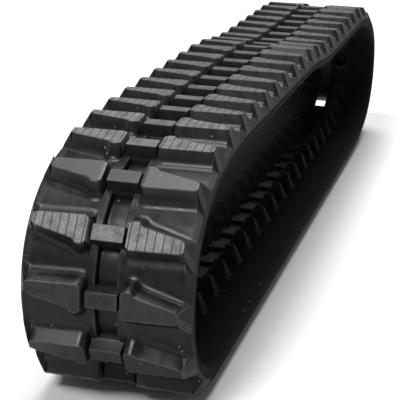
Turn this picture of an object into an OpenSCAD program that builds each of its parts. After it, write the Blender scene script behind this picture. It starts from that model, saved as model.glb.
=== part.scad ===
// Endless rubber track for a small excavator, standing on its bottom run.
// X runs along the track, Y to its left and Z up. The origin is on the floor under the loop's middle.
// The loop is drawn along its cord line, the layer of steel cords whose length never changes.
// Along the cord line, s is the distance run and n the height above it, positive to the tread side.

/* [Belt] */
// Width over both edges of the belt
belt_w = 320; // [310:2:340]
// Distance from one steel core to the next, along the cord line
pitch = 100; // [98:0.5:102]
// Steel cores in the whole loop
core_count = 48; // [46:1:50]
// Height of the outer rubber surface above the cord line
face_n = 15; // [14:0.5:17]
// Depth of the inner rubber surface below the cord line
back_n = 13; // [13:0.5:15]

/* [Tread] */
// Height of the lugs above the cord line
lug_n = 44; // [42:1:50]
// Width over the flat tops of a left and a right lug
lug_span = 282; // [276:2:292]
// Length of a lug's flat top at its outer end, along the track
lug_outer_l = 25; // [22:1:28]
// Length of a lug's flat top at its inner end, along the track
lug_inner_l = 51; // [48:1:54]
// Height of the centre bridges above the cord line
bridge_n = 38; // [34:1:40]

/* [Inside] */
// Height of a guide horn above the inner rubber surface
horn_h = 42; // [36:1:46]
// Width of the sprocket windows across the track
window_w = 42; // [38:1:46]
// Length of a bridge between two windows, along the track
bridge_l = 34; // [32:1:38]
// Thickness of the thin web that closes a window as moulded
web_t = 4; // [3:0.5:5]

/* [Loop] */
// Radius of most of the front turn
front_r = 185; // [175:1:195]
// Radius of the rear turn where it leaves the floor
rear_low_r = 140; // [134:1:145]
// Radius of the rear turn where it meets the top run
rear_high_r = 140; // [135:1:145]
// Slope of the sag in the top run
sag_deg = 7; // [5:0.5:8]

/* [Flex gaps] */
// Half angle of the V gaps where two sections meet
gap_half_deg = 5.5; // [5:0.5:7]
// Radius of the round nose that one section turns on
nose_r = 9; // [8:0.5:10]
// Clearance between a nose and its socket, and half of it at the middle of a V gap
nose_gap = 0.3; // [0.3:0.05:0.5]

/* [Hidden] */

rubber = [0.10, 0.10, 0.10];
tread_rubber = [0.16, 0.16, 0.16];
steel = [0.55, 0.56, 0.58];
$fn = 48;

// ---- the loop's centre path -------------------------------------------------------------
// A path state is [x, z, heading, s]; a piece is [length, turn], with turn 0 for a straight.
function bend(r, turn) = [r * abs(turn) * PI / 180, turn];
function arc_end(st, r, turn) = [
    st[0] + r * (sin(st[2] + turn) - sin(st[2])),
    st[1] - r * (cos(st[2] + turn) - cos(st[2])),
    st[2] + turn
];
function go(st, piece) =
    piece[1] == 0
        ? [st[0] + piece[0] * cos(st[2]), st[1] + piece[0] * sin(st[2]), st[2], st[3] + piece[0]]
        : concat(arc_end(st, piece[0] / (piece[1] * PI / 180), piece[1]), [st[3] + piece[0]]);
function states(pieces, i = 0, st = [0, 0, 0, 0]) =
    i == len(pieces) ? [st] : concat([st], states(pieces, i + 1, go(st, pieces[i])));

sag_r = 1500;
rear_shelf_l = 450;
rear_low = [bend(700, 12), bend(345, 18), bend(rear_low_r, 60)];
rear_high = [bend(rear_high_r, 50), bend(330, 22), bend(550, 10), bend(1000, 8)];
sag = [[rear_shelf_l, 0], bend(sag_r, -sag_deg), bend(sag_r, sag_deg)];
front = [bend(1350, 6), bend(570, 10), bend(230, 26), bend(front_r, 138)];
function loop_pieces(bottom_l, rise_l, top_l) = concat(
    [[bottom_l, 0]], rear_low, [[rise_l, 0]], rear_high, sag, [[top_l, 0]], front);

// The bends alone leave a gap; the three straights close it and bring the length to whole pitches.
bends = states(loop_pieces(0, 0, 0));
open_end = bends[len(bends) - 1];
rise_l = -open_end[1];
bottom_l = (core_count * pitch - open_end[3] - rise_l - open_end[0]) / 2;
top_l = bottom_l + open_end[0];
pieces = loop_pieces(bottom_l, rise_l, top_l);
path = states(pieces);
loop_l = core_count * pitch;

// The cord line starts at front_x, lug_n above the floor, and the two turns reach equally far out.
rear_reach = path[len(rear_low) + 1][0];
front_x = (front_r - rear_reach) / 2;
function wrap(s) = s - loop_l * floor(s / loop_l);
function piece_at(s, i = 0) = i == len(pieces) - 1 || s < path[i + 1][3] ? i : piece_at(s, i + 1);
function state_in(s, i) = go(path[i], [s - path[i][3], pieces[i][1] * (s - path[i][3]) / pieces[i][0]]);
function state_at(s) = state_in(wrap(s), piece_at(wrap(s)));
function tangent(st) = [cos(st[2]), sin(st[2])];
function normal(st) = [sin(st[2]), -cos(st[2])];
function centre(st) = [front_x + st[0], lug_n + st[1]];
// The point at s and n, as [x, z]
function pt(s, n) = let (st = state_at(s)) centre(st) + n * normal(st);

// ---- the surfaces: facets a quarter of a pitch long, with a corner at every core ---------
facet_l = pitch / 4;
function core_s(k) = k * pitch;
function between(a, b, f) = a + (b - a) * f;
// The point on the faceted surface n at ds along from core k, as [x, z]
function surf(k, ds, n) = let (i = floor(ds / facet_l), s = core_s(k) + i * facet_l)
    between(pt(s, n), pt(s + facet_l, n), ds / facet_l - i);
// The same point in core k's own axes, as [s, n]
function local(k, ds, n) = let (st = state_at(core_s(k)), d = surf(k, ds, n) - centre(st))
    [d * tangent(st), d * normal(st)];

// ---- sections: [name, first core, last core]; a flex gap lies half a pitch past the last --
sections = [
    ["bottom_run", 0, 16], ["rear_lower", 17, 20], ["rear_upper", 21, 24],
    ["top_run", 25, core_count - 7], ["front_upper", core_count - 6, core_count - 4],
    ["front_lower", core_count - 3, core_count - 1]
];
// The windows past these cores are open; a web closes every other one.
open_windows = [17, 18, 19];

edge_w = 4;
face_edge = belt_w / 2 - edge_w;
edge_drop = 4;
edge_inset = 0.5;
hub_n = (face_n - back_n) / 2;

core_w = 30;
core_half = 118;
core_low = -9.5;
core_high = -1.5;
boss_w = 24;
boss_high = 8;
// Rubber over each end of a boss, and over the tip of a prong
boss_cover = 1;
boss_half = window_w / 2 - boss_cover;
prong_cover = 10;
prong_w = 16;
prong_in = 46;
prong_out = 58;
prong_n = prong_cover - back_n - horn_h;

cord_low = 1.5;
cord_high = 5.5;
cord_w = 24;
cord_rows = [34, 66, 98];

horn_foot_l = 46;
horn_top_l = 11;
horn_foot = [30, 76];
horn_top = [41, 61];

lug_foot_extra = 8;
lug_ramp_y = face_edge;
lug_in_top = 37;
lug_in_foot = 34;
tab_out_top = 58;
tab_out_foot = 66;
pad_half = 32;
pad_top_trim = 2;
web_n = -1;
web_trim = 0.8;
over = 60;

module at_core(k) {
    st = state_at(core_s(k));
    translate([centre(st)[0], 0, centre(st)[1]])
        rotate([0, -st[2], 0])
            mirror([0, 0, 1])
                children();
}

// Extrudes an outline drawn in [x, z] across the track, from y0 to y1.
module across(y0, y1) {
    translate([0, y1, 0])
        rotate([90, 0, 0])
            linear_extrude(y1 - y0)
                children();
}

// Extrudes an outline drawn in [y, z] along x, over the length l about the middle.
module along(l) {
    rotate([90, 0, 90])
        linear_extrude(l, center = true)
            children();
}

// ---- rubber carcass ---------------------------------------------------------------------
function gap_back(n) = nose_gap / 2 + abs(n - hub_n) * tan(gap_half_deg);
function cut_pt(s, n, way, inset) = pt(s, n) + way * (gap_back(n) + inset) * tangent(state_at(s));
function cut_pts(s, ns, way, inset) = [for (n = ns) cut_pt(s, n, way, inset)];
function strip_outline(s0, s1, low, high, inset) = concat(
    cut_pts(s0, [low, hub_n, high], 1, inset),
    [for (s = [s0 + facet_l : facet_l : s1 - facet_l / 2]) pt(s, high)],
    cut_pts(s1, [high, hub_n, low], -1, inset),
    [for (s = [s1 - facet_l : -facet_l : s0 + facet_l / 2]) pt(s, low)]);

module hub(s, y0, y1, r) {
    c = pt(s, hub_n);
    translate([c[0], y1, c[1]])
        rotate([90, 0, 0])
            cylinder(h = y1 - y0, r = r);
}

module strip(a, b, side) {
    s0 = core_s(a) - pitch / 2;
    s1 = core_s(b) + pitch / 2;
    inner = window_w / 2;
    y0 = side > 0 ? inner : -belt_w / 2;
    y1 = side > 0 ? belt_w / 2 : -inner;
    f0 = side > 0 ? inner : -face_edge;
    f1 = side > 0 ? face_edge : -inner;
    difference() {
        union() {
            across(f0, f1) polygon(strip_outline(s0, s1, -back_n, face_n, 0));
            across(y0, y1) polygon(strip_outline(s0, s1, edge_drop - back_n, face_n - edge_drop, edge_inset));
            hub(s1, y0, y1, nose_r);
        }
        hub(s0, y0 - 1, y1 + 1, nose_r + nose_gap);
    }
}

module carcass(a, b, side) color(rubber) difference() {
    strip(a, b, side);
    core_group(a, b);
    cord_group(a, b, [side]);
}

// ---- steel cords ------------------------------------------------------------------------
function cord_outline(s0, s1) = concat(
    [for (s = [s0 : facet_l : s1]) pt(s, cord_high)],
    [for (s = [s1 : -facet_l : s0]) pt(s, cord_low)]);

module cord_group(a, b, sides) {
    s0 = core_s(a) - facet_l;
    s1 = core_s(b) + facet_l;
    for (side = sides, y = cord_rows) {
        y0 = side > 0 ? y : -y - cord_w;
        across(y0, y0 + cord_w) polygon(cord_outline(s0, s1));
    }
}

module cords(a, b) color(steel) cord_group(a, b, [1, -1]);

// ---- steel cores ------------------------------------------------------------------------
module core(k) at_core(k) {
    translate([-core_w / 2, -core_half, core_low])
        cube([core_w, 2 * core_half, core_high - core_low]);
    translate([-boss_w / 2, -boss_half, core_low])
        cube([boss_w, 2 * boss_half, boss_high - core_low]);
    for (y = [prong_in, -prong_out])
        translate([-prong_w / 2, y, prong_n])
            cube([prong_w, prong_out - prong_in, core_high - prong_n]);
}

module core_group(a, b) for (k = [a : b]) core(k);

module cores(a, b) color(steel) core_group(a, b);

// ---- rubber guide horns -----------------------------------------------------------------
module horn(k, side) {
    tip = -back_n - horn_h;
    half = horn_foot_l / 2;
    inner = side * horn_foot[0];
    difference() {
        at_core(k) intersection() {
            across(-over * 2, over * 2) polygon([
                local(k, -half, -back_n), local(k, 0, -back_n), local(k, half, -back_n),
                [horn_top_l / 2, tip], [-horn_top_l / 2, tip]]);
            along(horn_foot_l * 2) polygon([
                [inner, over], [side * horn_foot[1], over],
                [side * horn_foot[1], -back_n], [side * horn_top[1], tip],
                [side * horn_top[0], tip], [inner, -back_n]]);
        }
        core(k);
    }
}

module horns(a, b, side) color(rubber) for (k = [a : b]) horn(k, side);

// ---- centre bridges and window webs -----------------------------------------------------
module bridge(k) {
    half = bridge_l / 2;
    difference() {
        at_core(k) {
            across(-window_w / 2, window_w / 2) polygon([
                local(k, -half, -back_n), local(k, 0, -back_n), local(k, half, -back_n),
                local(k, half, face_n), local(k, 0, face_n), local(k, -half, face_n)]);
            across(-pad_half, pad_half) polygon([
                local(k, -half, face_n), local(k, 0, face_n), local(k, half, face_n),
                [half - pad_top_trim, bridge_n], [pad_top_trim - half, bridge_n]]);
        }
        core(k);
    }
}

module bridges(a, b) color(tread_rubber) for (k = [a : b]) bridge(k);

// The web between core k and the next, or the part of it from d0 to d1 along from core k
module web(k, d0, d1) {
    ds = concat([d0], [for (d = [facet_l : facet_l : pitch - facet_l]) if (d > d0 && d < d1) d], [d1]);
    top = [for (d = ds) surf(k, d, web_n)];
    low = [for (i = [len(ds) - 1 : -1 : 0]) surf(k, ds[i], web_n - web_t)];
    across(-window_w / 2, window_w / 2) polygon(concat(top, low));
}

function closed(k) = len([for (w = open_windows) if (w == k) w]) == 0;

module webs(a, b) color(rubber) {
    start = bridge_l / 2;
    middle = pitch / 2;
    if (closed(a - 1)) web(a - 1, middle + web_trim, pitch - start);
    for (k = [a : b - 1])
        if (closed(k)) web(k, start, pitch - start);
    if (closed(b)) web(b, start, middle - web_trim);
}

// ---- tread lugs -------------------------------------------------------------------------
// Drawn as the left lug; the right one is the same turned half round about the core's middle.
lug_back = -26;
lug_front = lug_back + lug_outer_l;
tab_front = lug_back + lug_inner_l;
// The slanted front of the lug and the back of its tab end inside each other.
slant_in = tab_front - 3;
tab_back = lug_back + 10;
// Clearance under a lug, which keeps the two solids from overlapping; the real lug is bonded on.
bond_t = 0.06;
// The sides of a lug stand upright from the rubber to here, then lean.
foot_n = face_n + 0.5;

module lug_prism(k, way, back_top, front_top) {
    function base(ds) = let (p = local(k, way * ds, face_n + bond_t)) [way * p[0], p[1]];
    back = back_top - lug_foot_extra;
    front = front_top + lug_foot_extra;
    foot = concat([back], [for (ds = [-facet_l, 0, facet_l]) if (ds > back && ds < front) ds], [front]);
    across(0, belt_w / 2) polygon(concat(
        [for (ds = foot) base(ds)], [[front_top, lug_n], [back_top, lug_n]]));
}

module lug(k, side) at_core(k) rotate([0, 0, side > 0 ? 0 : 180]) {
    half = lug_span / 2;
    run = half - lug_in_top;
    slant = atan((slant_in - lug_front) / run);
    intersection() {
        lug_prism(k, side, lug_back, facet_l);
        along(3 * over) polygon([
            [lug_in_foot, 0], [lug_ramp_y, 0], [lug_ramp_y, foot_n], [half, lug_n],
            [lug_in_top, lug_n], [lug_in_foot, foot_n]]);
        translate([lug_front, half, 0])
            rotate([0, 0, slant])
                across(-2 * half, half) polygon([
                    [-2 * over, 0], [lug_foot_extra, 0], [lug_foot_extra, foot_n],
                    [0, lug_n], [-2 * over, lug_n]]);
    }
    intersection() {
        lug_prism(k, side, tab_back, tab_front);
        along(3 * over) polygon([
            [lug_in_foot, 0], [tab_out_foot, 0], [tab_out_foot, foot_n], [tab_out_top, lug_n],
            [lug_in_top, lug_n], [lug_in_foot, foot_n]]);
    }
}

module lugs(a, b, side) color(tread_rubber) for (k = [a : b]) lug(k, side);

// ---- one node for each kind of piece in each section ------------------------------------
module part_of(kind, a, b) {
    if (kind == "carcass_left") carcass(a, b, 1);
    if (kind == "carcass_right") carcass(a, b, -1);
    if (kind == "bridges") bridges(a, b);
    if (kind == "lugs_left") lugs(a, b, 1);
    if (kind == "lugs_right") lugs(a, b, -1);
    if (kind == "horns_left") horns(a, b, 1);
    if (kind == "horns_right") horns(a, b, -1);
    if (kind == "cores") cores(a, b);
    if (kind == "cords") cords(a, b);
    if (kind == "webs") webs(a, b);
}

kinds = [
    "carcass_left", "carcass_right", "bridges", "lugs_left", "lugs_right",
    "horns_left", "horns_right", "cores", "cords", "webs"
];
for (kind = kinds, sec = sections)
    part_of(kind, sec[1], sec[2]);
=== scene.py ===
import math

import bmesh
import bpy
import numpy as np
from mathutils import Matrix, Vector


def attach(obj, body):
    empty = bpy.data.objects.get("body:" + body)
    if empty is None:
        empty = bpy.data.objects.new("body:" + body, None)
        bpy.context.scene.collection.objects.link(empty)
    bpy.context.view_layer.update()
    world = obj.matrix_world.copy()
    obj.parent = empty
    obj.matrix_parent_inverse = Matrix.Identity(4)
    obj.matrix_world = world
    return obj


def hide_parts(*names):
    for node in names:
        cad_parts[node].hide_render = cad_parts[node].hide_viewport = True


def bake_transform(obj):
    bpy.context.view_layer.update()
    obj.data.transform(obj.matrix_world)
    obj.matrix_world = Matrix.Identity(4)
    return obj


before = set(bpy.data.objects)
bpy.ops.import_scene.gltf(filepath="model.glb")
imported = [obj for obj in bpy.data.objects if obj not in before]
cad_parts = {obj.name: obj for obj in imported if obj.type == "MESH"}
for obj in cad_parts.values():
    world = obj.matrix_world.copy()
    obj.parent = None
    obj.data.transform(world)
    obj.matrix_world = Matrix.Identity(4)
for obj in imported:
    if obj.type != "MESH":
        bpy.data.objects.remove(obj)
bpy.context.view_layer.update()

MM = 0.001
PITCH = 100.0
CORES = 48
LOOP = PITCH * CORES
LUG_N = 44.0
FACE_N = 15.0
BACK_N = 13.0

# ---- the loop's centre path, as in the CAD source, in mm ---------------------------------


def bend(radius, turn):
    return (radius * math.radians(abs(turn)), turn)


REAR_LOW = [bend(700, 12), bend(345, 18), bend(140, 60)]
REAR_HIGH = [bend(140, 50), bend(330, 22), bend(550, 10), bend(1000, 8)]
SAG = [(450.0, 0), bend(1500, -7), bend(1500, 7)]
FRONT = [bend(1350, 6), bend(570, 10), bend(230, 26), bend(185, 138)]


def loop_pieces(bottom, rise, top):
    return [(bottom, 0)] + REAR_LOW + [(rise, 0)] + REAR_HIGH + SAG + [(top, 0)] + FRONT


def chord(length, turn):
    half = math.radians(turn) / 2
    return length * (math.sin(half) / half if half else 1.0)


def states(pieces):
    out = [(0.0, 0.0, 0.0, 0.0)]
    for length, turn in pieces:
        x, z, head, s = out[-1]
        mid = math.radians(head + turn / 2)
        c = chord(length, turn)
        out.append((x + c * math.cos(mid), z + c * math.sin(mid), head + turn, s + length))
    return out


bends = states(loop_pieces(0, 0, 0))
rise_l = -bends[-1][1]
bottom_l = (LOOP - bends[-1][3] - rise_l - bends[-1][0]) / 2
top_l = bottom_l + bends[-1][0]
PIECES = loop_pieces(bottom_l, rise_l, top_l)
PATH = np.array(states(PIECES))
RATE = np.array([math.radians(t) / l for l, t in PIECES])
FRONT_X = (185 - PATH[4][0]) / 2


def path_at(s):
    """Centre x, z and heading of the cord line at each s."""
    s = np.mod(np.asarray(s, float), LOOP)
    i = np.clip(np.searchsorted(PATH[:, 3], s, side="right") - 1, 0, len(PIECES) - 1)
    run = s - PATH[i, 3]
    turn = RATE[i] * run
    head = np.radians(PATH[i, 2])
    c = run * np.sinc(turn / 2 / np.pi)
    return (
        FRONT_X + PATH[i, 0] + c * np.cos(head + turn / 2),
        LUG_N + PATH[i, 1] + c * np.sin(head + turn / 2),
        head + turn,
    )


def on_path(s, n):
    x, z, h = path_at(s)
    return x + n * np.sin(h), z - n * np.cos(h)


def in_core(k, ds, n):
    x, z, h = path_at(k * PITCH)
    return x + ds * np.cos(h) + n * np.sin(h), z + ds * np.sin(h) - n * np.cos(h)


def place(k, ds, y, n, flat=None):
    """World points in metres. flat is 0 on the belt's own curve and 1 on core k's flat axes."""
    if flat is None:
        flat = np.clip((n - FACE_N) / (LUG_N - FACE_N), 0, 1)
    ax, az = on_path(k * PITCH + ds, n)
    bx, bz = in_core(k, ds, n)
    x = ax + (bx - ax) * flat
    z = az + (bz - az) * flat
    return np.stack([x, np.broadcast_to(y, x.shape), z], axis=-1) * MM


# ---- sections and spans ------------------------------------------------------------------
SECTIONS = {
    "bottom_run": (0, 16), "rear_lower": (17, 20), "rear_upper": (21, 24),
    "top_run": (25, 41), "front_upper": (42, 44), "front_lower": (45, 47),
}
# Each span of rubber crosses one hinge: name, first core, last core, hinge s, the two bodies
SPANS = [
    ("rear", 17, 22, 2050, "rear_lower", "rear_upper"),
    ("shelf", 23, 33, 2450, "rear_upper", "top_run"),
    ("crown", 34, 42, 4150, "top_run", "front_upper"),
    ("nose", 43, 45, 4450, "front_upper", "front_lower"),
    ("ground", 46, 64, 4750, "front_lower", "bottom_run"),
]
OPEN_WINDOWS = (17, 18, 19)
# How much pale film the lug tops of a row carry, where it isn't 0.55: the 0.55 is dust, the higher rows (44 and 37
# to 42) add a painted highlight and sheen, the lower rows (43, 45, 46) a painted shade
DUST_AND_SHEEN = {
    46: 0.06, 45: 0.1, 44: 1.0, 43: 0.14, 42: 0.9, 41: 0.9, 40: 0.8, 39: 0.75, 38: 0.7, 37: 0.65,
}


def new_object(name, verts, faces, attributes, *materials, shaded_faces=None):
    mesh = bpy.data.meshes.new(name)
    mesh.from_pydata([tuple(v) for v in verts], [], [tuple(int(i) for i in f) for f in faces])
    bm = bmesh.new()
    bm.from_mesh(mesh)
    bmesh.ops.recalc_face_normals(bm, faces=bm.faces)
    bm.to_mesh(mesh)
    bm.free()
    for key, values in attributes.items():
        values = np.asarray(values, np.float32)
        if values.ndim == 2:
            a = mesh.attributes.new(key, "FLOAT_VECTOR", "POINT")
            a.data.foreach_set("vector", values.ravel())
        else:
            a = mesh.attributes.new(key, "FLOAT", "POINT")
            a.data.foreach_set("value", values)
    for p in mesh.polygons:
        p.use_smooth = True
    mesh.set_sharp_from_angle(angle=math.radians(32))
    for material in materials:
        mesh.materials.append(material)
    if shaded_faces:
        mesh.polygons.foreach_set("material_index", shaded_faces)
    obj = bpy.data.objects.new(name, mesh)
    bpy.context.collection.objects.link(obj)
    return obj


# ---- materials ---------------------------------------------------------------------------


def nodes_of(name):
    mat = bpy.data.materials.new(name)
    mat.use_nodes = True
    tree = mat.node_tree
    return mat, tree, tree.nodes["Principled BSDF"]


def add(tree, kind, **values):
    n = tree.nodes.new(kind)
    for key, value in values.items():
        if key.startswith("in_"):
            n.inputs[int(key[3:])].default_value = value
        else:
            setattr(n, key, value)
    return n


def math_node(tree, op, a, b=None, clamp=False):
    n = add(tree, "ShaderNodeMath", operation=op, use_clamp=clamp)
    for i, v in enumerate((a, b)):
        if v is None:
            continue
        if isinstance(v, (int, float)):
            n.inputs[i].default_value = v
        else:
            tree.links.new(v, n.inputs[i])
    return n.outputs[0]


def ramp(tree, source, lo, hi, a=0.0, b=1.0):
    n = add(tree, "ShaderNodeMapRange", in_1=lo, in_2=hi, in_3=a, in_4=b)
    n.interpolation_type = "SMOOTHSTEP"
    tree.links.new(source, n.inputs[0])
    return n.outputs[0]


def mix_colour(tree, factor, a, b):
    n = tree.nodes.new("ShaderNodeMix")
    n.data_type = "RGBA"
    tree.links.new(factor, n.inputs[0])
    for i, v in ((6, a), (7, b)):
        if isinstance(v, tuple):
            n.inputs[i].default_value = (*v, 1.0)
        else:
            tree.links.new(v, n.inputs[i])
    return n.outputs[2]


def noise(tree, coords, scale, detail=2.0, rough=0.5):
    n = add(tree, "ShaderNodeTexNoise")
    n.inputs["Scale"].default_value = scale
    n.inputs["Detail"].default_value = detail
    n.inputs["Roughness"].default_value = rough
    tree.links.new(coords, n.inputs["Vector"])
    return n.outputs["Fac"]


def rubber(name, base, dust_and_sheen_colour, worn_and_highlight, gloss, dull, shine=0.2, sipes=False):
    """Moulded rubber: dark, with a pale film where top is 1 (dust, and on some rows a painted highlight), paler
    arrises (wear, and a painted highlight line) and dull where matte is 1.
    """
    mat, t, shader = nodes_of(name)
    coords = add(t, "ShaderNodeTexCoord").outputs["Object"]
    wear_and_highlight = add(t, "ShaderNodeAttribute", attribute_name="wear_and_highlight").outputs["Fac"]
    top = add(t, "ShaderNodeAttribute", attribute_name="top").outputs["Fac"]
    matte = add(t, "ShaderNodeAttribute", attribute_name="matte").outputs["Fac"]
    speck = noise(t, coords, 420.0, 2.0, 0.65)
    grain = noise(t, coords, 900.0, 2.0, 0.7)
    coarse = noise(t, coords, 45.0, 3.0, 0.6)
    rare = noise(t, coords, 170.0, 0.0, 0.5)
    colour = mix_colour(t, ramp(t, coarse, 0.35, 0.7), base, tuple(c * 1.5 for c in base))
    # pale film on the lug tops: dust, and on some rows a painted highlight
    dust_and_sheen_film = math_node(t, "MULTIPLY", ramp(t, coarse, 0.25, 0.65, 0.45, 0.9), top, clamp=True)
    dust_and_sheen_film = math_node(t, "MULTIPLY", dust_and_sheen_film, ramp(t, speck, 0.36, 0.64, 0.55, 1.0), clamp=True)
    colour = mix_colour(t, dust_and_sheen_film, colour, dust_and_sheen_colour)
    # arrises paler: wear, and a painted highlight line along the edges
    edge = math_node(t, "MULTIPLY", wear_and_highlight, ramp(t, coarse, 0.3, 0.6, 0.3, 0.8), clamp=True)
    colour = mix_colour(t, edge, colour, worn_and_highlight)
    if sipes:
        # sipes: dark lines on the lug tops, painted shade of slits that the mesh doesn't cut
        belt = add(t, "ShaderNodeAttribute", attribute_name="belt").outputs["Vector"]
        split = add(t, "ShaderNodeSeparateXYZ")
        t.links.new(belt, split.inputs[0])
        wave = math_node(t, "PINGPONG", math_node(t, "ADD", split.outputs[1], 4.5), 7.75)
        flat_top = math_node(t, "MINIMUM", math_node(t, "MULTIPLY", top, 1.6), 1.0)
        line = math_node(t, "MULTIPLY", ramp(t, wave, 0.5, 1.3, 1.0, 0.0), flat_top)
        colour = mix_colour(t, line, colour, tuple(c * 0.6 for c in base))
        # ribs on the outer ramp: pale lines, a painted highlight of small ridges that the mesh doesn't have
        out = math_node(t, "SUBTRACT", split.outputs[1], 141.0)
        across = math_node(t, "ADD", split.outputs[0], math_node(t, "MULTIPLY", out, 1.3))
        rib = math_node(t, "PINGPONG", math_node(t, "ADD", across, 40.0), 2.6)
        mask = math_node(t, "MULTIPLY", ramp(t, out, 0.5, 2.0), ramp(t, out, 15.0, 17.0, 1.0, 0.0))
        mask = math_node(t, "MULTIPLY", mask, ramp(t, across, -23.0, -22.0))
        mask = math_node(t, "MULTIPLY", mask, ramp(t, across, -5.0, -4.0, 1.0, 0.0))
        rib_highlight = math_node(t, "MULTIPLY", ramp(t, rib, 0.5, 1.1, 1.0, 0.0), mask)
        colour = mix_colour(t, rib_highlight, colour, (0.06, 0.06, 0.06))
    debris = ramp(t, rare, 0.865, 0.88)
    colour = mix_colour(t, debris, colour, (0.30, 0.22, 0.11))
    t.links.new(colour, shader.inputs["Base Color"])
    smooth = ramp(t, coarse, 0.3, 0.7, gloss - 0.04, gloss + 0.07)
    rough = add(t, "ShaderNodeMix")
    t.links.new(top, rough.inputs[0])
    t.links.new(smooth, rough.inputs[2])
    rough.inputs[3].default_value = dull
    flat = add(t, "ShaderNodeMix")
    t.links.new(matte, flat.inputs[0])
    t.links.new(rough.outputs[0], flat.inputs[2])
    flat.inputs[3].default_value = 0.85
    t.links.new(flat.outputs[0], shader.inputs["Roughness"])
    height = math_node(t, "ADD", math_node(t, "MULTIPLY", grain, 0.4), math_node(t, "MULTIPLY", speck, 0.6))
    bump = add(t, "ShaderNodeBump")
    bump.inputs["Distance"].default_value = 0.0012
    t.links.new(math_node(t, "ADD", math_node(t, "MULTIPLY", top, 0.45), 0.14), bump.inputs["Strength"])
    t.links.new(height, bump.inputs["Height"])
    t.links.new(bump.outputs[0], shader.inputs["Normal"])
    shader.inputs["Specular IOR Level"].default_value = shine
    return mat


def metal(name, base, rough, streak):
    mat, t, shader = nodes_of(name)
    coords = add(t, "ShaderNodeTexCoord").outputs["Object"]
    cloud = noise(t, coords, 70.0, 4.0, 0.6)
    lines = noise(t, coords, streak, 2.0, 0.5)
    colour = mix_colour(t, ramp(t, cloud, 0.3, 0.7), base, tuple(c * 0.7 for c in base))
    t.links.new(colour, shader.inputs["Base Color"])
    t.links.new(ramp(t, lines, 0.3, 0.7, rough - 0.08, rough + 0.1), shader.inputs["Roughness"])
    shader.inputs["Metallic"].default_value = 1.0
    bump = add(t, "ShaderNodeBump")
    bump.inputs["Strength"].default_value = 0.3
    bump.inputs["Distance"].default_value = 0.0006
    t.links.new(lines, bump.inputs["Height"])
    t.links.new(bump.outputs[0], shader.inputs["Normal"])
    return mat


BASE = (0.0055, 0.0055, 0.006)
belt_mat = rubber("belt_rubber", BASE, (0.19, 0.188, 0.182), (0.07, 0.07, 0.07), 0.31, 0.5, sipes=True)
bridge_mat = rubber("bridge_rubber", BASE, (0.16, 0.158, 0.152), (0.045, 0.045, 0.045), 0.4, 0.5)
# a darker copy of the rubber, painted shade, for the loop's inner face, the belt's sides, the window walls, cut ends
# and the horns
shaded_inside_mat = rubber("inside_rubber_painted_shade", (0.004, 0.004, 0.0043), (0.06, 0.06, 0.058), (0.03, 0.03, 0.03), 0.6, 0.6, 0.06)
core_mat = metal("forged_core", (0.33, 0.32, 0.31), 0.5, 260.0)
cord_mat = metal("brassed_cord", (0.55, 0.48, 0.36), 0.35, 1200.0)

# ---- the rubber cross-section ------------------------------------------------------------
# Edges of the left lug's flat top and of its foot against the distance from the middle
BACK_TOP = ([37, 38.2, 40.5, 44, 134, 138, 140.2, 141], [-20, -23.4, -25.9, -27, -24.2, -23.2, -20.8, -18.5])
BACK_FOOT = ([34, 37, 40.5, 44, 141], [-28, -31.5, -34, -35, -32])
FRONT_TOP = (
    [37, 38.2, 40.5, 44, 50, 53, 55.5, 57.5, 59, 61, 64, 70, 134, 138, 140.2, 141],
    [18.5, 21.8, 24.2, 25, 25, 24.6, 23.4, 21.6, 19.6, 17.6, 16.2, 15, 0.6, -1.2, -3.6, -6],
)
FRONT_FOOT = (
    [34, 37, 40.5, 44, 51, 55, 58.5, 61, 63.5, 66.5, 70, 74, 141],
    [24, 28.5, 32, 33, 33, 32.5, 31, 29, 27, 25.2, 23.8, 22.6, 7],
)
RAMP_Y, FOOT_Y = 141.0, 158.5
FILLET = [(-10.66, 0.0), (-6.19, 0.0253), (-2.23, 0.0972), (0.95, 0.2128), (2.84, 0.3545)]


def lug_edges(v):
    """Back foot, back top, front top and front foot of the lug at distance v from the middle."""
    t = min(max((v - RAMP_Y) / (FOOT_Y - RAMP_Y), 0.0), 1.0)
    w = min(max(v, 34.0), RAMP_Y)
    back_foot, back, front, foot = (
        float(np.interp(w, *line)) for line in (BACK_FOOT, BACK_TOP, FRONT_TOP, FRONT_FOOT)
    )
    if v > RAMP_Y:
        back, front = -24.0, -1.0
    return back_foot - t * 16.0, back - t * 23.5, front + t * 5.5, foot - t * 1.5


def rows_at(v, scale):
    """u, height share, paler-edge share (wear and a painted highlight line) and top of every row; scale is the lug's
    height share.
    """
    bf, bt, ft, ff = lug_edges(v)
    r = max(scale, 0.12)
    rows = [(-50.0, 0, 0, 0), (None, 0, 0, 0)]
    # the fillet rows take a little of the pale film: a faint painted highlight band at each lug's foot
    rows += [(bf + du * r, h, 0, f) for (du, h), f in zip(FILLET, (0.05, 0.16, 0.2, 0.12, 0.04))]
    rows += [
        (bf + (bt - bf) * 0.93, 0.931, 0.15, 0), (bf + (bt - bf) * 1.01, 0.984, 1, 0.6), (bt + 1.3 * r, 1, 0.45, 1),
        (bt + 2.6 * r, 1, 0, 1),
    ]
    a, b = bt + 2.6 * r, ft - 2.6 * r
    rows += [(a + (b - a) * f, 1, 0, 1) for f in (0.33, 0.67)]
    rows += [
        (ft - 2.6 * r, 1, 0, 1), (ft - 1.3 * r, 1, 0.45, 1), (ff + (ft - ff) * 1.01, 0.984, 1, 0.6),
        (ff + (ft - ff) * 0.93, 0.931, 0.15, 0),
    ]
    rows += [(ff - du * r, h, 0, 0) for du, h in reversed(FILLET)]
    end = rows[-1][0]
    rows += [(end + (50 - end) * f, 0, 0, 0) for f in (0.25, 0.5, 0.75, 1.0)]
    rows[1] = ((rows[0][0] + rows[2][0]) / 2, 0, 0, 0)
    return np.array(rows, float)


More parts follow.
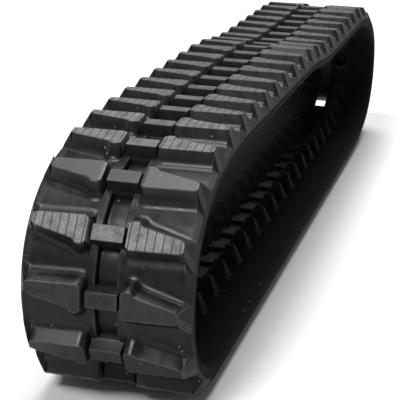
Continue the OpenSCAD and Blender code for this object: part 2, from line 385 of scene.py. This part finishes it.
ROWS = len(rows_at(60.0, 1.0))
EVEN = np.linspace(-50, 50, ROWS)
# Tread columns: distance from the middle, and the share of the lug's height there
TREAD = [
    (21.0, 0), (22.2, 0), (26, 0), (31.5, 0), (33.0, 0.03), (34.0, 0.10), (34.6, 0.22), (36.6, 0.93),
    (36.9, 0.985), (38.0, 1), (44, 1), (50, 1), (53, 1), (55.5, 1), (57.5, 1), (59, 1), (61, 1), (64, 1), (67, 1),
    (70, 1), (78, 1), (88, 1), (98, 1), (108, 1), (118, 1), (128, 1), (135, 1), (139.6, 1), (140.8, 0.99),
]
RAMP = [141.6, 144.5, 148, 151.5, 154.5, 157.0, 158.5]


def cell():
    """One pitch of the left side as arrays [row, column]: u, v, n, paler-edge share (wear and a painted highlight
    line), top, matte.
    """
    cols = []
    for v, share in TREAD:
        r = rows_at(v, share if share > 0.3 else 1.0)
        n = FACE_N + (LUG_N - FACE_N) * share * r[:, 1]
        wear_and_highlight, top = r[:, 2] * share, r[:, 3] * share
        # the lug-top arris columns: paler edge, wear and a painted highlight line
        if v in (36.9, 140.8):
            wear_and_highlight = np.where(r[:, 3] > 0, 1.0, wear_and_highlight)
        if v < 34:
            top = np.zeros(ROWS)
            n = np.full(ROWS, FACE_N)
            # the window's rim gets a paler edge: wear and a painted highlight line
            if v < 22:
                n -= 0.9
                wear_and_highlight = np.full(ROWS, 0.9)
            else:
                wear_and_highlight = np.full(ROWS, 0.25 if v < 23 else 0.0)
        cols.append((r[:, 0], np.full(ROWS, v), n, wear_and_highlight, top, np.zeros(ROWS)))
    for v in RAMP:
        t = (v - RAMP_Y) / (FOOT_Y - RAMP_Y)
        height = (LUG_N - FACE_N + 1.5) * (1 - t)
        r = rows_at(v, max(1 - t, 0.12))
        base = FACE_N - 2.2 * max(0.0, (v - 154) / (FOOT_Y - 154)) ** 2
        n = base + height * r[:, 1]
        # the ramp's ridge: paler edge, a painted highlight line
        ridge = np.where(r[:, 2] > 0.9, 1.0, 0.0)
        cols.append((
            r[:, 0], np.full(ROWS, v), n, ridge * (1 - 0.3 * t), r[:, 1] * 0.06, np.full(ROWS, 0.5 * min(1, t * 3)),
        ))
    last = cols[-1][0]
    # side columns: the last number is the paler-edge share, a painted highlight line along the belt's corners
    side = [
        (159.5, 11.6, 0.0, 1.5), (160.0, 10.6, 0.0, 0.5), (160.0, 9.4, 0.15, 0.0), (160.0, 5.4, 0.5, 0.0),
        (160.0, 3.2, 1.0, 0.0), (159.6, 2.7, 1.0, 0.5), (159.6, 1.9, 1.0, 0.0), (160.0, 1.4, 1.0, 0.8),
        (159.6, -1.2, 1.0, 0.0),
        (156.5, -7.8, 1.0, 0.0), (151.0, -12.2, 1.0, 0.1), (147.0, -13.0, 1.0, 0), (115, -13.0, 1.0, 0),
        (80, -13.0, 1.0, 0), (50, -13.0, 1.0, 0), (24, -13.0, 1.0, 0), (20, -12.4, 1.0, 0.2),
        (17.6, -10.8, 1.0, 0.2),
        (16.2, -6, 1.0, 0), (16.0, -1.5, 0.9, 0), (17.2, 3.5, 0.5, 0), (19.2, 10.5, 0.2, 0), (20.2, 13.2, 0.0, 0.3),
    ]
    inner = cols[0][0]
    for v, n, even, wear_and_highlight in side:
        start = last if v > 90 else inner
        u = start + (EVEN - start) * even
        matte = 1.0 if v > 21 else 0.3
        cols.append((u, *(np.full(ROWS, a) for a in (v, n, wear_and_highlight * 0.35, 0.0, matte))))
    return [np.stack([c[i] for c in cols], axis=1) for i in range(6)]


CELL = cell()
COLS = CELL[0].shape[1]
SELVEDGE = len(TREAD) + len(RAMP) + 1


def gap_half(n):
    return 0.15 + np.abs(n - 1.0) * math.tan(math.radians(5.0))


def side_mesh(first, last, side, cut_start, cut_end):
    """The rubber of one side over cores first..last, as a ring of columns swept along the belt."""
    rows = []
    for k in range(first, last + 1):
        u, v, n, wear_and_highlight, top, matte = (a.copy() for a in CELL)
        if side < 0:
            u, v, n, wear_and_highlight, top, matte = -u[::-1], v[::-1], n[::-1], wear_and_highlight[::-1], top[::-1], matte[::-1]
        if cut_start and k == first:
            u[0] = -50 + gap_half(n[0])
            u[1] = np.maximum(u[1], u[0] + 0.2)
            u[2] = np.maximum(u[2], u[1] + 0.2)
        if cut_end and k == last:
            u[-1] = 50 - gap_half(n[-1])
            u[-2] = np.minimum(u[-2], u[-1] - 0.2)
            u[-3] = np.minimum(u[-3], u[-2] - 0.2)
        # each row's share of the pale film: dust, with a painted sheen on some rows and a painted shade on others
        top = top * DUST_AND_SHEEN.get(k % CORES, 0.55)
        world = place(k, u, side * v, n)
        keep = slice(None) if k == last else slice(0, ROWS - 1)
        belt = np.stack([u * side, v, n], axis=-1)
        rows.append([a[keep] for a in (world, belt, wear_and_highlight, top, matte)])
    world, belt, wear_and_highlight, top, matte = (np.concatenate([r[i] for r in rows]) for i in range(5))
    total = world.shape[0]
    ids = np.arange(total * COLS).reshape(total, COLS)
    a = ids[:-1]
    b = ids[1:]
    faces = np.stack([a, np.roll(a, -1, 1), np.roll(b, -1, 1), b], axis=-1).reshape(-1, 4).tolist()
    column = np.arange(COLS)
    # side, inner face and window walls take the darker rubber: painted shade
    shaded_faces = np.tile((column >= SELVEDGE) & (column < COLS - 1), total - 1).astype(int).tolist()
    for cut, rim in ((cut_start, ids[0]), (cut_end, ids[-1])):
        if cut:
            faces.append(rim.tolist())
            shaded_faces.append(1)
    return world.reshape(-1, 3), faces, shaded_faces, {
        "belt": belt.reshape(-1, 3), "wear_and_highlight": wear_and_highlight.ravel(), "top": top.ravel(), "matte": matte.ravel(),
    }


for name, first, last, hinge, body_a, body_b in SPANS:
    for side, word in ((1, "left"), (-1, "right")):
        verts, faces, shaded_faces, attributes = side_mesh(first, last, side, first == 17, last == 64)
        piece = new_object(f"belt_{word}_{name}", verts, faces, attributes, belt_mat, shaded_inside_mat, shaded_faces=shaded_faces)
        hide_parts(f"carcass_{word}_{body_a}", f"lugs_{word}_{body_a}")
        if name in ("shelf", "ground"):
            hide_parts(f"carcass_{word}_{body_b}", f"lugs_{word}_{body_b}")
        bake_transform(piece)

# ---- lofted pieces: rings of rounded rectangles ------------------------------------------


def ring(half_s, half_y, radius, mid_y=0.0, corner=4):
    """Points (ds, y) round a rectangle with rounded corners."""
    pts = []
    radius = min(radius, half_s, half_y)
    for q in range(4):
        cs = (1, -1, -1, 1)[q] * (half_s - radius)
        cy = (1, 1, -1, -1)[q] * (half_y - radius)
        for i in range(corner + 1):
            a = math.radians(90 * q + 90 * i / corner)
            pts.append((cs + radius * math.cos(a), mid_y + cy + radius * math.sin(a)))
    return pts


def loft(k, rings, close_low=True, flat=None):
    """rings: (n, points, paler-edge share for wear and a painted highlight line, top). Returns vertices, faces and
    attributes for core k.
    """
    verts, wear_and_highlight, top, belt = [], [], [], []
    # each row's share of the pale film: dust, with a painted sheen on some rows and a painted shade on others
    dust_and_sheen = DUST_AND_SHEEN.get(k % CORES, 0.55)
    for n, pts, w, t in rings:
        ds = np.array([p[0] for p in pts])
        y = np.array([p[1] for p in pts])
        nn = np.full(len(pts), float(n))
        f = np.full(len(pts), flat) if flat is not None else np.where(nn > FACE_N, 1.0, 0.0)
        verts.append(place(k, ds, y, nn, f))
        belt.append(np.stack([ds, y, nn], axis=-1))
        wear_and_highlight += [w] * len(pts)
        top += [t * dust_and_sheen] * len(pts)
    count = len(rings[0][1])
    faces = []
    for r in range(len(rings) - 1):
        for i in range(count):
            j = (i + 1) % count
            faces.append((r * count + i, r * count + j, (r + 1) * count + j, (r + 1) * count + i))
    faces.append(tuple(range((len(rings) - 1) * count, len(rings) * count)))
    if close_low:
        faces.append(tuple(reversed(range(count))))
    return np.concatenate(verts), faces, np.array(wear_and_highlight), np.array(top), np.concatenate(belt)


def gather(parts):
    verts, faces, wear_and_highlight, top, belt, base = [], [], [], [], [], 0
    for v, f, w, t, b in parts:
        verts.append(v)
        faces += [tuple(i + base for i in face) for face in f]
        wear_and_highlight.append(w)
        top.append(t)
        belt.append(b)
        base += len(v)
    return np.concatenate(verts), faces, {
        "belt": np.concatenate(belt), "wear_and_highlight": np.concatenate(wear_and_highlight), "top": np.concatenate(top),
    }


def bridge_rings():
    low = [
        (-12.8, 19.0, 19.5, 1.5), (-12.0, 20.0, 20.2, 2), (-1.0, 20.6, 20.2, 3), (6, 19.2, 20.4, 4),
        (13.0, 17.4, 20.8, 3),
    ]
    high = [(13.2, 17.2, 31.8, 2.0), (15.5, 16.9, 31.6, 2.0), (35.8, 15.4, 30.2, 2.2), (37.4, 14.9, 29.7, 2.2)]
    out = [(n, ring(s, y, r), 0.0, 0.0) for n, s, y, r in low + high]
    # the bridge's top arris: paler edge, wear and a painted highlight line
    out.append((37.95, ring(14.3, 29.1, 2.0), 0.9, 0.8))
    out.append((38.0, ring(13.0, 27.8, 1.5), 0.2, 1.0))
    out.append((38.0, ring(7.0, 20.0, 1.0), 0.0, 1.0))
    return out


def horn_rings(side):
    foot = (30.0, 76.0)
    tip = (41.0, 61.0)
    out = []
    # the horn's top edge: paler edge, wear and a painted highlight line
    for f, grow, radius, wear_and_highlight in (
        (-0.06, 4.0, 6, 0), (0.0, 2.6, 6, 0.2), (0.04, 0.9, 6, 0.1), (0.12, 0.0, 5.5, 0), (0.55, 0.0, 4.5, 0),
        (0.93, 0.0, 3.5, 0.1), (0.985, -0.9, 3.0, 0.8), (1.0, -2.2, 2.2, 0.3),
    ):
        g = min(max(f, 0.0), 1.0)
        a = foot[0] + (tip[0] - foot[0]) * g
        b = foot[1] + (tip[1] - foot[1]) * g
        half_s = 23.0 + (5.5 - 23.0) * g + grow
        out.append((-BACK_N - 42.0 * f, ring(half_s, (b - a) / 2 + grow, radius, side * (a + b) / 2), wear_and_highlight, 0.0))
    return out


for section, (first, last) in SECTIONS.items():
    verts, faces, attributes = gather([loft(k, bridge_rings()) for k in range(first, last + 1)])
    piece = new_object(f"bridge_row_{section}", verts, faces, attributes, bridge_mat)
    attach(piece, section)
    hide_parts(f"bridges_{section}")
    for side, word in ((1, "left"), (-1, "right")):
        verts, faces, attributes = gather([loft(k, horn_rings(side), flat=1.0) for k in range(first, last + 1)])
        piece = new_object(f"horn_row_{word}_{section}", verts, faces, attributes, shaded_inside_mat)
        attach(piece, section)
        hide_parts(f"horns_{word}_{section}")

# ---- webs that close the windows ---------------------------------------------------------


def web_part(k, d0, d1):
    """One web past core k, from d0 to d1, crowned on the tread side."""
    ds = np.linspace(d0, d1, 15)
    ys = np.array([-19.5, -17.5, -16.2, -14.6, -11, -6, 0, 6, 11, 14.6, 16.2, 17.5, 19.5])
    lift = np.array([3.4, 3.2, 3.1, 3.0, 3.4, 4.0, 4.2, 4.0, 3.4, 3.0, 3.1, 3.2, 3.4])
    u = np.repeat(ds[:, None], len(ys), 1)
    v = np.repeat(ys[None, :], len(ds), 0)
    ends = np.minimum(np.abs(ds - 19.5), np.abs(80.5 - ds))
    n = -1.0 + lift[None, :] * np.interp(ends, [0, 6, 14, 26], [0.3, 0.65, 0.9, 1.0])[:, None]
    top_side = place(k, u, v, n, np.zeros_like(u))
    low_side = place(k, u, v, np.full_like(u, -5.0), np.zeros_like(u))
    rows, cols = u.shape
    ids = np.arange(rows * cols).reshape(rows, cols)
    off = rows * cols
    faces = []
    for i in range(rows - 1):
        for j in range(cols - 1):
            q = (ids[i, j], ids[i, j + 1], ids[i + 1, j + 1], ids[i + 1, j])
            faces.append(q)
            faces.append(tuple(c + off for c in reversed(q)))
    rim = list(ids[0]) + list(ids[1:, -1]) + list(ids[-1, -2::-1]) + list(ids[-2:0:-1, 0])
    for i, a in enumerate(rim):
        b = rim[(i + 1) % len(rim)]
        faces.append((a, b, b + off, a + off))
    verts = np.concatenate([top_side.reshape(-1, 3), low_side.reshape(-1, 3)])
    zero = np.zeros(len(verts))
    belt = np.concatenate([np.stack([u, v, n], -1).reshape(-1, 3)] * 2)
    return verts, faces, zero, zero, belt


for name, first, last, hinge, body_a, body_b in SPANS:
    parts = []
    for k in range(first, last + 1):
        window = k % CORES
        if window in OPEN_WINDOWS:
            continue
        if window == 16:
            parts.append(web_part(k, 19.5, 49.4))
        elif k == last:
            parts.append(web_part(k, 19.5, 50.0))
        else:
            parts.append(web_part(k, 19.5, 80.5))
    if first == 17:
        parts.append(web_part(16, 50.6, 80.5))
    else:
        parts.append(web_part(first - 1, 50.0, 80.5))
    verts, faces, attributes = gather(parts)
    piece = new_object(f"web_row_{name}", verts, faces, attributes, bridge_mat)
    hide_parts(f"webs_{body_a}")
    if name in ("shelf", "ground"):
        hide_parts(f"webs_{body_b}")
    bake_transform(piece)

# ---- CAD nodes that stay, with better materials ------------------------------------------
for section in SECTIONS:
    for kind, mat in (("cores", core_mat), ("cords", cord_mat)):
        node = bpy.data.objects[f"{kind}_{section}"]
        node.data.materials.clear()
        node.data.materials.append(mat)

# ---- floor, light and camera -------------------------------------------------------------


def pale_floor():
    mat, t, shader = nodes_of("studio_floor")
    coords = add(t, "ShaderNodeTexCoord").outputs["Object"]
    cloud = noise(t, coords, 3.0, 2.0, 0.5)
    t.links.new(mix_colour(t, cloud, (0.52, 0.52, 0.52), (0.54, 0.54, 0.54)), shader.inputs["Base Color"])
    shader.inputs["Roughness"].default_value = 0.9
    shader.inputs["Specular IOR Level"].default_value = 0.1
    mesh = bpy.data.meshes.new("floor")
    e = 40.0
    mesh.from_pydata([(-e, -e, 0), (e, -e, 0), (e, e, 0), (-e, e, 0)], [], [(0, 1, 2, 3)])
    mesh.materials.append(mat)
    obj = bpy.data.objects.new("floor", mesh)
    bpy.context.collection.objects.link(obj)


pale_floor()

world = bpy.data.worlds.new("studio")
world.use_nodes = True
sky = world.node_tree
direction = add(sky, "ShaderNodeTexCoord").outputs["Generated"]
heights = add(sky, "ShaderNodeSeparateXYZ")
sky.links.new(direction, heights.inputs[0])
level = ramp(sky, heights.outputs[2], 0.3, 0.8, 0.42, 0.16)
sky.links.new(level, sky.nodes["Background"].inputs["Strength"])
sky.nodes["Background"].inputs["Color"].default_value = (1.0, 1.0, 1.0, 1.0)
bpy.context.scene.world = world


def sun(name, energy, angle, direction):
    data = bpy.data.lights.new(name, "SUN")
    data.energy = energy
    data.angle = math.radians(angle)
    obj = bpy.data.objects.new(name, data)
    obj.rotation_euler = Vector(direction).to_track_quat("-Z", "Y").to_euler()
    bpy.context.collection.objects.link(obj)


sun("key", 3.0, 16.0, (0.62, -0.18, -0.76))
sun("overhead", 4.5, 36.0, (-0.2, -0.04, -1.0))

camera = bpy.data.cameras.new("camera")
camera.sensor_width = 36.0
camera.lens = 110.2
camera.clip_end = 100.0
eye = bpy.data.objects.new("camera", camera)
az, el, roll = math.radians(15.21), math.radians(18.29), 0.024
look = Vector((math.cos(el) * math.cos(az), math.cos(el) * math.sin(az), -math.sin(el)))
flat_right = Vector((math.sin(az), -math.cos(az), 0.0))
flat_up = flat_right.cross(look)
right = math.cos(roll) * flat_right + math.sin(roll) * flat_up
up = -math.sin(roll) * flat_right + math.cos(roll) * flat_up
eye.matrix_world = Matrix((
    (right.x, up.x, -look.x, -2.9748), (right.y, up.y, -look.y, -0.6729),
    (right.z, up.z, -look.z, 1.0734), (0, 0, 0, 1),
))
bpy.context.collection.objects.link(eye)
bpy.context.scene.camera = eye
bpy.context.scene.view_settings.view_transform = "Standard"
